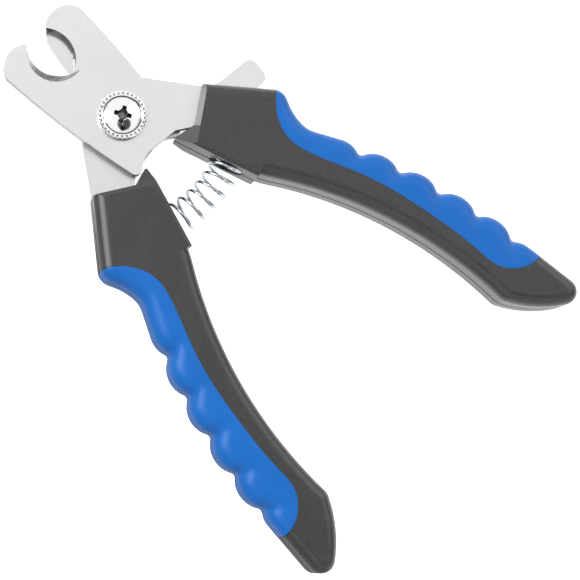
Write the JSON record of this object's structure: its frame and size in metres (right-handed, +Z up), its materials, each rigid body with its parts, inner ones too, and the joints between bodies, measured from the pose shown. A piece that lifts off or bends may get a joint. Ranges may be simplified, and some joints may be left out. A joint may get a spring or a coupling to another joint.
{
  "type": "scissor nail clipper",
  "caption": "Plier-type nail clipper for dogs: notched steel blades that pass like scissors, moulded handles with soft grips, a coil spring between them and a swivelling nail guard.",
  "frame": {"origin": "under the middle of the outline of the open clipper, on the surface it lies on", "axes": "+X from the handles to the jaws, +Z up out of the face with the pivot screw's head"},
  "size_m": [0.1492, 0.102, 0.0152],
  "materials": {
    "blade_steel": "satin ground stainless steel",
    "guard_steel": "satin stainless sheet",
    "black_plastic": "fine spark-eroded texture",
    "blue_grip": "smooth satin elastomer",
    "bright_plating": "bright nickel plating",
    "spring_wire": "bright drawn wire",
    "bearing_steel": "plain turned steel"
  },
  "bodies": {
    "rear_half": {"rear_blade": "blade_steel", "rear_handle_back_shell": "black_plastic", "rear_handle_front_shell": "black_plastic", "rear_grip": "blue_grip", "pivot_sleeve": "bearing_steel", "pivot_screw": "bright_plating", "serrated_ring": "bright_plating", "guard_washer": "bearing_steel", "disc_spring": "bearing_steel", "pivot_nut": "bright_plating", "return_spring": "spring_wire"},
    "front_half": {"front_blade": "blade_steel", "front_handle_front_shell": "black_plastic", "front_handle_back_shell": "black_plastic", "front_grip": "blue_grip"},
    "guard": {"nail_guard": "guard_steel"}
  },
  "joints": [
    {"name": "closing", "type": "hinge", "parent": "rear_half", "child": "front_half", "pos_m": [0.04298, 0, 0.0076], "axis": [0, 0, -1], "range_deg": [0, 36.2], "stiffness_Nm_per_rad": 0.95, "springref_deg": -5.73, "deforming": ["return_spring"]},
    {"name": "guard_swivel", "type": "hinge", "parent": "rear_half", "child": "guard", "pos_m": [0.04298, 0, 0.0034], "axis": [0, 0, 1], "range_deg": [-12, 16]}
  ]
}
